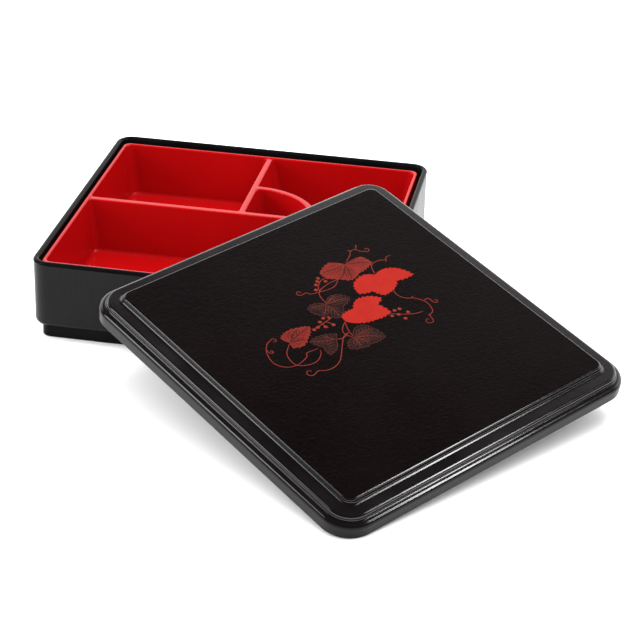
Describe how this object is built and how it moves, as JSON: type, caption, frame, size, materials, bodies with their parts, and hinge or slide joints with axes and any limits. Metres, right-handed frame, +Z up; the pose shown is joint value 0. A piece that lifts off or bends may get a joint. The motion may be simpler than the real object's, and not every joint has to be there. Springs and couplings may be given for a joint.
{
  "type": "divided bento box with lid",
  "caption": "Low square lacquered bento box on a stepped foot, with a red divided tray inside and a panelled lid leaning against it.",
  "frame": {"origin": "centre of the flat underside of the box's foot, on the surface that the box stands on", "axes": "+X along the box's width, +Y towards the back, where the two small compartments are, +Z up"},
  "size_m": [0.4192, 0.4502, 0.0898],
  "materials": {
    "black_lacquer": "gloss lip, brushed satin walls",
    "red_lacquer": "gloss",
    "lid_lacquer": "gloss steps, grained satin panel with a red vine ornament"
  },
  "bodies": {
    "root": {"outer_box": "black_lacquer", "divided_tray": "red_lacquer", "lid": "lid_lacquer"}
  },
  "joints": []
}
